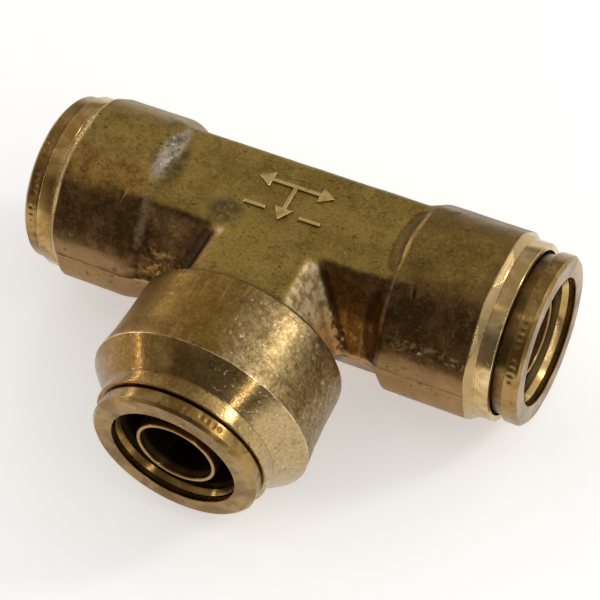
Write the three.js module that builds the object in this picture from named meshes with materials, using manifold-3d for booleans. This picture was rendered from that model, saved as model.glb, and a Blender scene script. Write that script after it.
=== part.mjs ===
// Push-to-connect union tee for 15.875 mm (5/8 in) outside diameter tube.
// Units are millimetres. The run lies along X, the branch points along -Y, Z is up.
// Along each port, "a" is the distance from the point where the three port axes
// cross, and "r" is the radius about that port's axis.
import * as THREE from 'three';
import { mergeVertices } from 'three/addons/utils/BufferGeometryUtils.js';
import Module from 'manifold-3d';

const wasm = await Module();
wasm.setup();

// ---- driving dimensions ----------------------------------------------------
const TUBE_OD = 15.875;              // the tube that the ports accept
const TUBE_ID = 11.15;               // its bore, which the tube support lines

// forged and turned body
const BODY_END = 32.65;              // a of each port's flat end face
const COLLAR_START = 30.55;          // a where the turned end collar begins
const COLLAR_R = 12.0;               // radius of that collar
const COLLAR_EDGE = 0.25;            // broken edge on the collar
const HUB_HALF_Z = 12.3;             // hub flats, top and bottom
const HUB_HALF_Y = 12.45;            // hub flats, front and back
const HUB_FLAT_Y = 5.8;              // half width of the top flat
const HUB_FLAT_Z = 4.9;              // half height of the side flat
const HUB_ENVELOPE_R = 12.95;        // turned envelope that softens the corners
const HUB_CONE_A = 29.4;             // a where the hub is cut down by its turned end cone
const HUB_CONE_R = 12.95;            // radius there
const LEFT_RAMP = [16.4, 18.4, 19.7];   // a of the shoulder ramp's foot, edge and top, left hub
const RIGHT_RAMP = [15.9, 17.2, 18.1];  // and right hub
const BAR_HALF_Z = 11.2;             // flat top and bottom of the middle
const BAR_FLAT_HALF = 6.6;           // half width of that flat
const BAR_WAIST_HALF = 11.9;          // half width at the parting plane
const BAR_EDGE = 0.7;                // size of the softened edge
const DRUM_BACK_A = 14.1;            // a where the drum rises from the neck
const DRUM_RIM_A = 16.2;             // a of the drum's rear rim
const DRUM_RIM_R = 14.4;
const DRUM_MID_A = 21.5;
const DRUM_MID_R = 14.55;
const DRUM_EDGE_A = 27.3;            // a of the drum's widest, sharp edge
const DRUM_EDGE_R = 15.17;
const MARK_RISE = 0.3;               // height of the raised flow mark
const MARK_STROKE = 0.55;            // width of its strokes

// bores in the body, from the middle outwards
const WATERWAY_R = 5.0;
const SUPPORT_BORE_R = 5.75;
const SUPPORT_BORE_A = 9.6;
const TUBE_STOP_A = 15.4;
const TUBE_BORE_R = 8.2;
const SEAL_SEAT_A = 17.4;
const CARTRIDGE_BORE_R = 10.9;
const MOUTH_BORE_A = 29.2;
const MOUTH_BORE_R = 11.15;

// release button and collet: s is the depth below the button's front face
const BUTTON_FRONT_R = 11.08;
const BUTTON_R = 11.45;
const FLANGE_T = 2.1;
const NECK_R = 10.8;
const NECK_END_S = 4.4;
const BUTTON_MOUTH_R = 8.6;
const BUTTON_BORE_R = 8.75;
const COLLET_RIM_S = 0.9;            // front edge of the collet's flared lip
const COLLET_LEAD_S = 1.75;          // depth where the flare has run down to the bore
const COLLET_BORE_R = 8.12;
const COLLET_BODY_R = 9.1;
const COLLET_BEAD_R = 9.85;
const COLLET_LENGTH_S = 11.35;
const FRONT_A = { left: 34.95, right: 36.25, branch: 34.95 };   // button front faces at rest

// fixed parts inside each port
const SUPPORT_R = TUBE_ID / 2 - 0.025;
const SUPPORT_BORE = 5.0;
const SUPPORT_TIP_A = 34.2;
const RING_R = 10.7;                 // outside of the stacked rings
const ORING_SECTION_R = 1.31;
const ORING_CENTRE_R = 9.38;

const SEG_BODY = 40, SEG_BORE = 32, SEG_BUTTON = 36, SEG_RING = 24, SEG_SUPPORT = 24;

// ---- helpers -----------------------------------------------------------------
const v2 = (pts) => pts.map(([r, a]) => new THREE.Vector2(r, a));

// A closed profile of [r, a] points turned about the Y axis.
function turned(pts, segments) {
  const closed = [...pts];
  const onAxis = pts[0][0] === 0 && pts[pts.length - 1][0] === 0;
  if (!onAxis) closed.push(pts[0]);
  return new THREE.LatheGeometry(v2(closed), segments);
}

function solid(geometry) {
  const bare = geometry.index ? geometry.toNonIndexed() : geometry.clone();
  bare.deleteAttribute('normal');
  bare.deleteAttribute('uv');
  const g = mergeVertices(bare, 1e-4);
  const pos = g.attributes.position;
  const vertProperties = new Float32Array(pos.array);
  const raw = g.index.array;
  const tri = [];
  let volume = 0;
  for (let i = 0; i < raw.length; i += 3) {
    const [a, b, c] = [raw[i], raw[i + 1], raw[i + 2]];
    if (a === b || b === c || a === c) continue;
    tri.push(a, b, c);
    const [ax, ay, az] = [pos.getX(a), pos.getY(a), pos.getZ(a)];
    const [bx, by, bz] = [pos.getX(b), pos.getY(b), pos.getZ(b)];
    const [cx, cy, cz] = [pos.getX(c), pos.getY(c), pos.getZ(c)];
    volume += (ax * (by * cz - bz * cy) + ay * (bz * cx - bx * cz) + az * (bx * cy - by * cx)) / 6;
  }
  const triVerts = new Uint32Array(tri);
  if (volume < 0) {
    for (let i = 0; i < triVerts.length; i += 3) {
      [triVerts[i + 1], triVerts[i + 2]] = [triVerts[i + 2], triVerts[i + 1]];
    }
  }
  return new wasm.Manifold(new wasm.Mesh({ numProp: 3, vertProperties, triVerts }));
}

function geometryOf(manifold) {
  const m = manifold.getMesh();
  const g = new THREE.BufferGeometry();
  const step = m.numProp;
  const xyz = new Float32Array((m.vertProperties.length / step) * 3);
  for (let i = 0; i < xyz.length / 3; i++) {
    xyz[3 * i] = m.vertProperties[step * i];
    xyz[3 * i + 1] = m.vertProperties[step * i + 1];
    xyz[3 * i + 2] = m.vertProperties[step * i + 2];
  }
  g.setAttribute('position', new THREE.BufferAttribute(xyz, 3));
  g.setIndex(new THREE.BufferAttribute(new Uint32Array(m.triVerts), 1));
  g.computeVertexNormals();
  return g;
}

// Turns a geometry made about +Y so that +Y points out of the named port.
const PORT_TURN = { right: -Math.PI / 2, left: Math.PI / 2, branch: Math.PI };
const toPort = (g, port) => g.rotateZ(PORT_TURN[port]);

// A prism whose section [y, z] is extruded along X from x0 to x1.
function prismX(section, x0, x1) {
  const shape = new THREE.Shape(section.map(([y, z]) => new THREE.Vector2(y, z)));
  const g = new THREE.ExtrudeGeometry(shape, { depth: x1 - x0, bevelEnabled: false, steps: 1 });
  // shape x -> world y, shape y -> world z, depth -> world x
  const m = new THREE.Matrix4().set(0, 0, 1, x0, 1, 0, 0, 0, 0, 1, 0, 0, 0, 0, 0, 1);
  return g.applyMatrix4(m);
}

// A flat prism on top of the bar: section [x, y], from z0 up by h.
function prismZ(section, z0, h) {
  const shape = new THREE.Shape(section.map(([x, y]) => new THREE.Vector2(x, y)));
  const g = new THREE.ExtrudeGeometry(shape, { depth: h, bevelEnabled: false, steps: 1 });
  return g.translate(0, 0, z0);
}

// ---- body ----------------------------------------------------------------------
// Octagonal hub section with each corner cut once more.
function hubSection() {
  const c = 0.9, q = [];
  const [Y, Z, y, z] = [HUB_HALF_Y, HUB_HALF_Z, HUB_FLAT_Y, HUB_FLAT_Z];
  const dx = Y - y, dz = Z - z, L = Math.hypot(dx, dz);
  const ux = dx / L, uz = dz / L;
  const quarter = [
    [Y, z - c], [Y - c * ux, z + c * uz],
    [y + c * ux, Z - c * uz], [y - c, Z],
  ];
  const mirror = (sy, sz) => quarter.map(([a, b]) => [a * sy, b * sz]);
  q.push(...mirror(1, 1), ...mirror(-1, 1).reverse(), ...mirror(-1, -1), ...mirror(1, -1).reverse());
  return q;
}

// Section of the middle bar and of the branch neck: flats top and bottom, drafted sides.
function barSection() {
  const e = BAR_EDGE, slope = (BAR_WAIST_HALF - BAR_FLAT_HALF) / BAR_HALF_Z;
  const quarter = [
    [BAR_WAIST_HALF, 0],
    [BAR_FLAT_HALF + slope * (e + 0.35), BAR_HALF_Z - e - 0.35],
    [BAR_FLAT_HALF - 0.15, BAR_HALF_Z - 0.28],
    [BAR_FLAT_HALF - e, BAR_HALF_Z],
  ];
  const up = quarter;
  const left = quarter.map(([y, z]) => [-y, z]).reverse();
  const down = quarter.slice(1).map(([y, z]) => [-y, -z]);
  const right = quarter.slice(1).map(([y, z]) => [y, -z]).reverse();
  return [...up, ...left, ...down, ...right];
}

function hub(port, ramp) {
  const s = port === 'right' ? 1 : -1;
  const block = solid(prismX(hubSection(), Math.min(s * 13, s * 34), Math.max(s * 13, s * 34)));
  const envelope = solid(toPort(turned([
    [0, ramp[0] - 1.4],
    [BAR_HALF_Z - 1.4, ramp[0] - 1.4],
    [BAR_HALF_Z - 0.2, ramp[0]],
    [12.2, ramp[1]],
    [HUB_ENVELOPE_R, ramp[2]],
    [HUB_CONE_R, HUB_CONE_A],
    [12.4, HUB_CONE_A + 0.55],
    [COLLAR_R + 0.02, COLLAR_START - 0.1],
    [COLLAR_R, COLLAR_START],
    [COLLAR_R, BODY_END - COLLAR_EDGE],
    [COLLAR_R - COLLAR_EDGE, BODY_END],
    [0, BODY_END],
  ], SEG_BODY), port));
  return block.intersect(envelope);
}

function drum() {
  return solid(toPort(turned([
    [0, DRUM_BACK_A - 3],
    [9.0, DRUM_BACK_A - 1.2],
    [11.6, DRUM_BACK_A],
    [13.75, DRUM_RIM_A - 0.95],
    [DRUM_RIM_R - 0.1, DRUM_RIM_A - 0.3],
    [DRUM_RIM_R, DRUM_RIM_A + 0.4],
    [DRUM_MID_R, DRUM_MID_A],
    [DRUM_EDGE_R - 0.12, DRUM_EDGE_A - 0.9],
    [DRUM_EDGE_R, DRUM_EDGE_A],
    [COLLAR_R + 0.02, COLLAR_START - 0.05],
    [COLLAR_R, COLLAR_START + 0.05],
    [COLLAR_R, BODY_END - COLLAR_EDGE],
    [COLLAR_R - COLLAR_EDGE, BODY_END],
    [0, BODY_END],
  ], SEG_BODY), 'branch'));
}

function portBore(port) {
  return solid(toPort(turned([
    [0, 0],
    [WATERWAY_R, 0],
    [WATERWAY_R, SUPPORT_BORE_A],
    [SUPPORT_BORE_R, SUPPORT_BORE_A],
    [SUPPORT_BORE_R, TUBE_STOP_A],
    [TUBE_BORE_R, TUBE_STOP_A],
    [TUBE_BORE_R, SEAL_SEAT_A],
    [CARTRIDGE_BORE_R, SEAL_SEAT_A],
    [CARTRIDGE_BORE_R, MOUTH_BORE_A],
    [MOUTH_BORE_R, MOUTH_BORE_A + 0.2],
    [MOUTH_BORE_R, BODY_END + 1],
    [0, BODY_END + 1],
  ], SEG_BORE), port));
}

// Raised flow mark: a tee of three bars, each ending in an arrowhead.
function flowMark() {
  const z0 = BAR_HALF_Z - 0.3, h = MARK_RISE + 0.3;
  const w = MARK_STROKE / 2;
  const run = [[-3.4, 2.3 - w], [3.4, 2.3 - w], [3.4, 1.0], [5.4, 2.3], [3.4, 3.6], [3.4, 2.3 + w],
    [-3.4, 2.3 + w], [-3.4, 3.6], [-5.4, 2.3], [-3.4, 1.0]];
  const stem = [[-w, 2.3], [-w, -1.5], [-1.3, -1.5], [0, -3.5], [1.3, -1.5], [w, -1.5], [w, 2.3]];
  const barL = [[-5.4, -2.2 - w], [-2.4, -2.2 - w], [-2.4, -2.2 + w], [-5.4, -2.2 + w]];
  const barR = [[2.4, -2.2 - w], [5.4, -2.2 - w], [5.4, -2.2 + w], [2.4, -2.2 + w]];
  return [run, stem, barL, barR].map((s) => solid(prismZ(s, z0, h)));
}

function buildBody() {
  const bar = solid(prismX(barSection(), -18, 18));
  const neckGeometry = prismX(barSection(), 0, 17.5).rotateZ(-Math.PI / 2);
  let body = bar.add(solid(neckGeometry));
  body = body.add(hub('left', LEFT_RAMP)).add(hub('right', RIGHT_RAMP)).add(drum());
  for (const m of flowMark()) body = body.add(m);
  for (const p of ['left', 'right', 'branch']) body = body.subtract(portBore(p));
  return body;
}

// ---- moving parts of one port ------------------------------------------------------
function button(port) {
  const f = FRONT_A[port];
  return solid(toPort(turned([
    [BUTTON_MOUTH_R, f],
    [BUTTON_FRONT_R, f],
    [BUTTON_R - 0.1, f - 0.14],
    [BUTTON_R, f - 0.4],
    [BUTTON_R, f - FLANGE_T + 0.12],
    [BUTTON_R - 0.12, f - FLANGE_T],
    [NECK_R, f - FLANGE_T - 0.06],
    [NECK_R, f - NECK_END_S],
    [BUTTON_BORE_R, f - NECK_END_S],
    [BUTTON_BORE_R, f - 0.3],
  ], SEG_BUTTON), port));
}

function collet(port) {
  const f = FRONT_A[port];
  const sleeve = solid(toPort(turned([
    [COLLET_BORE_R, f - COLLET_LEAD_S],
    [BUTTON_BORE_R - 0.3, f - COLLET_RIM_S],
    [BUTTON_BORE_R - 0.15, f - COLLET_RIM_S - 0.15],
    [BUTTON_BORE_R - 0.15, f - NECK_END_S - 0.3],
    [COLLET_BODY_R, f - NECK_END_S - 0.3],
    [COLLET_BODY_R, f - 9.25],
    [COLLET_BEAD_R, f - 9.55],
    [COLLET_BEAD_R, f - 10.2],
    [COLLET_BODY_R - 0.2, f - COLLET_LENGTH_S],
    [COLLET_BORE_R, f - COLLET_LENGTH_S],
  ], SEG_RING), port));
  let out = sleeve;
  for (let k = 0; k < 3; k++) {
    const cut = new THREE.BoxGeometry(26, 6.2, 0.9);
    cut.translate(0, f - 6.2 - 3.1, 0).rotateY((k * Math.PI) / 3 + Math.PI / 12);
    out = out.subtract(solid(toPort(cut, port)));
  }
  return out;
}

// ---- fixed parts of one port ---------------------------------------------------------
function retainer(port) {
  return solid(toPort(turned([
    [10.1, 23.4], [10.75, 23.4], [10.75, 28.7], [10.5, 29.0], [9.6, 29.0], [9.38, 28.7],
    [9.38, 27.25], [10.1, 27.25],
  ], SEG_RING), port));
}

function grabRing(port) {
  const cone = solid(toPort(turned([
    [7.75, 21.55], [9.35, 22.72], [RING_R, 22.72], [RING_R, 23.16], [9.2, 23.16], [7.75, 22.1],
  ], SEG_RING), port));
  let out = cone;
  for (let k = 0; k < 6; k++) {
    const cut = new THREE.BoxGeometry(18.9, 4, 0.8);
    cut.translate(0, 22, 0).rotateY((k * Math.PI) / 6 + Math.PI / 24);
    out = out.subtract(solid(toPort(cut, port)));
  }
  return out;
}

function spacer(port) {
  return solid(toPort(turned([
    [8.3, 20.45], [RING_R, 20.45], [RING_R, 22.5], [9.6, 22.5], [9.6, 21.3], [8.3, 21.05],
  ], SEG_RING), port));
}

function oRing(port) {
  const pts = [];
  const n = 8, centre = SEAL_SEAT_A + 0.15 + ORING_SECTION_R;
  for (let i = 0; i < n; i++) {
    const t = (i / n) * Math.PI * 2 + Math.PI / n;
    pts.push([ORING_CENTRE_R + ORING_SECTION_R * Math.cos(t), centre + ORING_SECTION_R * Math.sin(t)]);
  }
  return solid(toPort(turned(pts, SEG_RING), port));
}

function tubeSupport(port) {
  const tip = SUPPORT_TIP_A;
  return solid(toPort(turned([
    [SUPPORT_BORE, SUPPORT_BORE_A + 0.25], [SUPPORT_R, SUPPORT_BORE_A + 0.25],
    [SUPPORT_R, TUBE_STOP_A + 0.2], [7.95, TUBE_STOP_A + 0.2], [7.95, TUBE_STOP_A + 1.0],
    [SUPPORT_R, TUBE_STOP_A + 1.0],
    [SUPPORT_R, tip - 0.3], [SUPPORT_R - 0.1, tip - 0.08], [SUPPORT_R - 0.27, tip],
    [SUPPORT_BORE + 0.1, tip - 0.08], [SUPPORT_BORE, tip - 0.3],
  ], SEG_SUPPORT), port));
}

// ---- assembly ------------------------------------------------------------------------
const FINISH = {
  forged: { color: 0x7d6736, roughness: 0.5, metalness: 1.0 },
  button: { color: 0xa88f60, roughness: 0.35, metalness: 1.0 },
  turned: { color: 0xb39a66, roughness: 0.3, metalness: 1.0 },
  steel: { color: 0xb9b8b2, roughness: 0.3, metalness: 1.0 },
  acetal: { color: 0x2a2926, roughness: 0.6, metalness: 0.0 },
  nitrile: { color: 0x151515, roughness: 0.8, metalness: 0.0 },
};

const tee = new THREE.Group();
tee.name = 'push_connect_tee';

// The row frame has its origin under the middle of the bounding box.
const SHIFT = new THREE.Vector3(
  -(FRONT_A.right - FRONT_A.left) / 2,
  (FRONT_A.branch - HUB_HALF_Y) / 2,
  DRUM_EDGE_R,
);

function place(name, manifold, finish) {
  const g = geometryOf(manifold);
  g.translate(SHIFT.x, SHIFT.y, SHIFT.z);
  const mesh = new THREE.Mesh(g, new THREE.MeshStandardMaterial(FINISH[finish]));
  mesh.name = name;
  mesh.material.name = name;
  tee.add(mesh);
}

place('tee_body', buildBody(), 'forged');
for (const port of ['left', 'right', 'branch']) {
  place(`${port}_release_button`, button(port), 'button');
  place(`${port}_collet`, collet(port), 'turned');
  place(`${port}_retainer_sleeve`, retainer(port), 'turned');
  place(`${port}_grab_ring`, grabRing(port), 'steel');
  place(`${port}_spacer_ring`, spacer(port), 'acetal');
  place(`${port}_o_ring`, oRing(port), 'nitrile');
  place(`${port}_tube_support`, tubeSupport(port), 'turned');
}

export default tee;
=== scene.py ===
"""Looks for the push-to-connect tee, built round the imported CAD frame."""
import math

import bmesh
import bpy
import numpy as np
from mathutils import Matrix, Vector


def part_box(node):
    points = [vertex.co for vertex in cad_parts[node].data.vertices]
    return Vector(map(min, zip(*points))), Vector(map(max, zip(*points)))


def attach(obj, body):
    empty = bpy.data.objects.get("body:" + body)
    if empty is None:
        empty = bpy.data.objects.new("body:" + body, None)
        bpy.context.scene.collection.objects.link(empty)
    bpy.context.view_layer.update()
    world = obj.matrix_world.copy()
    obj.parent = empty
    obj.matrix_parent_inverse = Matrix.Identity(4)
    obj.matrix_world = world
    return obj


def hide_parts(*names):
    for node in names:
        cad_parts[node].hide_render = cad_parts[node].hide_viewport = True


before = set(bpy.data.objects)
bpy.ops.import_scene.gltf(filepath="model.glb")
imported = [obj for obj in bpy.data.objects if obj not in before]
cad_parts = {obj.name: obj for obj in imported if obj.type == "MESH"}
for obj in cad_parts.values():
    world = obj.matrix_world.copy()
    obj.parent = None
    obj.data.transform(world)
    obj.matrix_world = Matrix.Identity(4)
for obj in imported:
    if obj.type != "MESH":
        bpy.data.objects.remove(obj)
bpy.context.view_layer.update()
MM = 0.001

# The crossing point of the port axes, in millimetres of the row frame.
blo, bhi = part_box("tee_body")
OX = (blo.x + bhi.x) / 2 / MM
OY = bhi.y / MM - 12.45
OZ = (blo.z + bhi.z) / 2 / MM
ORIGIN = Vector((OX, OY, OZ)) * MM

FRONT = {}
FRONT["right"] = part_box("right_release_button")[1].x / MM - OX
FRONT["left"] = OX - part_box("left_release_button")[0].x / MM
FRONT["branch"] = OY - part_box("branch_release_button")[0].y / MM
BODY_END = 32.65

# Local +Z of every turned piece points out of its port; local axes as matrix columns.
PORT_AXES = {
    "right": ((0, 1, 0), (0, 0, 1), (1, 0, 0)),
    "left": ((0, -1, 0), (0, 0, 1), (-1, 0, 0)),
    "branch": ((1, 0, 0), (0, 0, 1), (0, -1, 0)),
}


def port_matrix(port):
    x, y, z = (Vector(v) for v in PORT_AXES[port])
    m = Matrix.Identity(4)
    for i in range(3):
        m[i][0], m[i][1], m[i][2], m[i][3] = x[i], y[i], z[i], ORIGIN[i]
    return m


# ---------------------------------------------------------------- noise
_rng = np.random.RandomState(11)
_LAT = _rng.rand(32, 32, 32).astype(np.float32) * 2 - 1


def noise3(x, y, z, scale, seed=0):
    """Smooth value noise in -1..1 with cells of the given size, the same every run."""
    s = 1.0 / scale
    px, py, pz = x * s + 17.3 + seed * 5.1, y * s + 9.7 + seed * 3.7, z * s + 4.1 + seed * 7.9
    ix, iy, iz = np.floor(px), np.floor(py), np.floor(pz)
    fx, fy, fz = px - ix, py - iy, pz - iz
    fx = fx * fx * (3 - 2 * fx)
    fy = fy * fy * (3 - 2 * fy)
    fz = fz * fz * (3 - 2 * fz)
    ix, iy, iz = ix.astype(np.int32) & 31, iy.astype(np.int32) & 31, iz.astype(np.int32) & 31
    jx, jy, jz = (ix + 1) & 31, (iy + 1) & 31, (iz + 1) & 31
    L = _LAT
    a = L[ix, iy, iz] * (1 - fx) + L[jx, iy, iz] * fx
    b = L[ix, jy, iz] * (1 - fx) + L[jx, jy, iz] * fx
    c = L[ix, iy, jz] * (1 - fx) + L[jx, iy, jz] * fx
    d = L[ix, jy, jz] * (1 - fx) + L[jx, jy, jz] * fx
    e = a * (1 - fy) + b * fy
    f = c * (1 - fy) + d * fy
    return e * (1 - fz) + f * fz


# ---------------------------------------------------------------- turned pieces
def rounded(points, steps=4):
    """points are (r, a, radius) of a closed profile; each corner is rounded by its radius."""
    out = []
    n = len(points)
    for i in range(n):
        r, a, rad = points[i]
        p = np.array([r, a], float)
        if rad <= 0:
            out.append((r, a))
            continue
        q0 = np.array(points[i - 1][:2], float)
        q1 = np.array(points[(i + 1) % n][:2], float)
        d0, d1 = q0 - p, q1 - p
        l0, l1 = np.linalg.norm(d0), np.linalg.norm(d1)
        d0, d1 = d0 / l0, d1 / l1
        ang = math.acos(max(-1, min(1, float(d0 @ d1))))
        t = min(rad / math.tan(ang / 2), 0.45 * l0, 0.45 * l1)
        rr = t * math.tan(ang / 2)
        s, e = p + d0 * t, p + d1 * t
        mid = (d0 + d1) / np.linalg.norm(d0 + d1)
        c = p + mid * (rr / math.sin(ang / 2))
        a0 = math.atan2(*(s - c)[::-1])
        a1 = math.atan2(*(e - c)[::-1])
        da = (a1 - a0 + math.pi) % (2 * math.pi) - math.pi
        for k in range(steps + 1):
            th = a0 + da * k / steps
            out.append((c[0] + rr * math.cos(th), c[1] + rr * math.sin(th)))
    return out


def densify(points, longest):
    out = []
    n = len(points)
    for i in range(n):
        p, q = points[i], points[(i + 1) % n]
        L = math.hypot(q[0] - p[0], q[1] - p[1])
        k = max(1, int(math.ceil(L / longest)))
        for j in range(k):
            out.append((p[0] + (q[0] - p[0]) * j / k, p[1] + (q[1] - p[1]) * j / k))
    return out


def finish_mesh(me, angle=30):
    me.validate(clean_customdata=False)
    me.polygons.foreach_set("use_smooth", np.ones(len(me.polygons), bool))
    me.set_sharp_from_angle(angle=math.radians(angle))
    me.update()


def turned(name, port, points, segs=192, longest=None, shape=None, steps=4, angle=30):
    """A closed profile turned about the port axis. shape(theta, r, a) may move the points."""
    prof = rounded(points, steps)
    if longest:
        prof = densify(prof, longest)
    prof = np.array(prof, float)
    area = 0.5 * float(np.sum(prof[:, 0] * np.roll(prof[:, 1], -1) - np.roll(prof[:, 0], -1) * prof[:, 1]))
    if area < 0:
        prof = prof[::-1]
    m = len(prof)
    th = np.arange(segs) * 2 * math.pi / segs
    T, R = np.meshgrid(th, prof[:, 0], indexing="ij")
    _, A = np.meshgrid(th, prof[:, 1], indexing="ij")
    if shape:
        R, A = shape(T, R, A)
    V = np.stack([R * np.cos(T), R * np.sin(T), A], -1).reshape(-1, 3) * MM
    i = np.arange(segs)[:, None]
    j = np.arange(m)[None, :]
    i2, j2 = (i + 1) % segs, (j + 1) % m
    F = np.stack(np.broadcast_arrays(i * m + j, i2 * m + j, i2 * m + j2, i * m + j2), -1).reshape(-1, 4)
    me = bpy.data.meshes.new(name)
    me.from_pydata(V.tolist(), [], F.tolist())
    finish_mesh(me, angle)
    ob = bpy.data.objects.new(name, me)
    bpy.context.scene.collection.objects.link(ob)
    ob.matrix_world = port_matrix(port)
    # a right-handed revolve keeps the outside out
    return ob


def cut_boxes(ob, boxes):
    """Cuts slots: boxes are (centre, size, turn about the port axis) in local millimetres."""
    cutters = []
    for c, size, turn in boxes:
        me = bpy.data.meshes.new("cutter")
        bm = bmesh.new()
        bmesh.ops.create_cube(bm, size=1.0)
        m = Matrix.Rotation(turn, 4, "Z") @ Matrix.Translation(Vector(c) * MM) @ Matrix.Diagonal(Vector((*size, 1000)) * MM)
        bmesh.ops.transform(bm, matrix=m, verts=bm.verts)
        bm.to_mesh(me)
        bm.free()
        cut = bpy.data.objects.new("cutter", me)
        bpy.context.scene.collection.objects.link(cut)
        cut.matrix_world = ob.matrix_world
        mod = ob.modifiers.new("slot", "BOOLEAN")
        mod.object = cut
        mod.operation = "DIFFERENCE"
        mod.solver = "EXACT"
        cutters.append(cut)
    bpy.context.view_layer.update()
    deps = bpy.context.evaluated_depsgraph_get()
    new = bpy.data.meshes.new_from_object(ob.evaluated_get(deps))
    ob.modifiers.clear()
    old = ob.data
    ob.data = new
    bpy.data.meshes.remove(old)
    for cut in cutters:
        me = cut.data
        bpy.data.objects.remove(cut)
        bpy.data.meshes.remove(me)
    finish_mesh(ob.data, 30)
    return ob


# ---------------------------------------------------------------- implicit forging
def smax(a, b, k):
    h = np.maximum(k - np.abs(a - b), 0) / k
    return np.maximum(a, b) + h * h * k * 0.25


def smin(a, b, k):
    h = np.maximum(k - np.abs(a - b), 0) / k
    return np.minimum(a, b) - h * h * k * 0.25


def drafted_side(u, z):
    """Distance to the drafted sides of the bar or the neck, which meet at the parting line."""
    return 0.9038 * np.abs(u) + 0.4279 * np.sqrt(z * z + 0.09) - 10.755


def hub_section(y, z):
    ay, az = np.sqrt(y * y + 0.04), np.sqrt(z * z + 0.04)
    diag = 0.7438 * ay + 0.6684 * az - 12.52
    return smax(smax(az - 12.3, diag, 2.4), ay - 12.45, 0.7)


def step01(t):
    t = np.clip(t, 0, 1)
    return t * t * (3 - 2 * t)


def hub(x, y, z, r, sign, ramp, crisp):
    """One run hub: an eight-sided forging with soft corners, cut down to its collar by a turned cone."""
    a = x * sign
    section = hub_section(y, z)
    f = smax(section, r - 12.95, 0.45)
    phi = math.atan2(1.2, ramp[1] - ramp[0])
    slope = (r - 11.0) * math.cos(phi) - (a - ramp[0]) * math.sin(phi)
    f = smax(f, slope, crisp)
    cone = np.maximum((r - 12.0) * 0.7433 + (a - 30.5) * 0.669, (section - 0.05) * 0.9104 + (a - 29.55) * 0.4138)
    return f, cone, a


def forging(x, y, z, skin=1.0):
    """Signed distance, in millimetres, to the forged body without its turned drum and collars.

    skin = 0 leaves out the small lumps and pits of the forging skin.
    """
    rx = np.sqrt(y * y + z * z)
    ry = np.sqrt(x * x + z * z)
    lump = 0.018 * noise3(x, y, z, 3.1) + 0.012 * noise3(x, y, z, 1.3, 1)
    # scale pits in the pockets beside the neck, and a nicked corner on the right hub
    pocket = step01((-y - 8.5) / 2.5) * step01((17.5 - np.abs(x)) / 1.5) * step01((7.5 - z) / 3)
    lump = lump + pocket * (0.10 * noise3(x, y, z, 0.9, 4) + 0.07 * noise3(x, y, z, 0.5, 6))
    corner = np.exp(-((z - 5.75) / 0.5) ** 2) * step01((x - 18) / 1.5) * step01((-y - 9) / 1.5)
    lump = lump + corner * (0.03 + 0.10 * noise3(x, y, z, 0.55, 5))
    ramp = np.exp(-((x + 17.7) / 1.1) ** 2) * step01((z - 8.5) / 2)
    lump = lump + ramp * (0.05 * noise3(x, y, z, 0.9, 8) + 0.03 * noise3(x, y, z, 0.5, 9))
    # rough rolled edge of the left shoulder, down its front side
    roll = np.exp(-((x + 17.9) / 0.9) ** 2) * step01((-y - 5.5) / 2) * step01((8.5 - z) / 2)
    lump = lump - roll * (0.12 + 0.16 * noise3(x, y, z, 1.1, 12))
    bar = np.maximum(drafted_side(y, z), np.abs(x) - 20)
    neck = np.maximum(drafted_side(x, z), y)
    f = smax(np.abs(z) - 11.2, smin(bar, neck, 1.6), 1.3)
    # flash line left by the die along the parting plane
    flash = np.exp(-((z - 0.15) / 0.28) ** 2) * (0.07 - 0.04 * step01(x / 20) + 0.03 * noise3(x, y, z, 1.0, 3))
    hl, conel, al = hub(x, y, z, rx, -1.0, (16.5, 18.5), 0.7)
    hr, coner, ar = hub(x, y, z, rx, 1.0, (16.1, 17.2), 0.35)
    f = smin(f, hl, 1.0)
    f = smin(f, hr, 0.9)
    # root of the drum, just inside the turned drum's skin
    a = -y
    drum = np.maximum((ry - 11.6) * 0.694 - (a - 14.1) * 0.72, ry - 14.2)
    f = smin(f, drum, 1.6)
    f = f - flash + skin * lump
    f = np.maximum(f, np.maximum(conel, coner))
    f = np.maximum(f, np.abs(x) - 30.52)
    f = np.maximum(f, a - 16.75)
    # bores
    bores = None
    for aa, rr in ((x, rx), (-x, rx), (a, ry)):
        for r0, a0 in ((5.0, 0.0), (5.75, 9.6), (8.2, 15.4), (10.9, 17.4)):
            b = np.maximum(rr - r0, a0 - aa)
            bores = b if bores is None else np.minimum(bores, b)
    return np.maximum(f, -bores)


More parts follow.
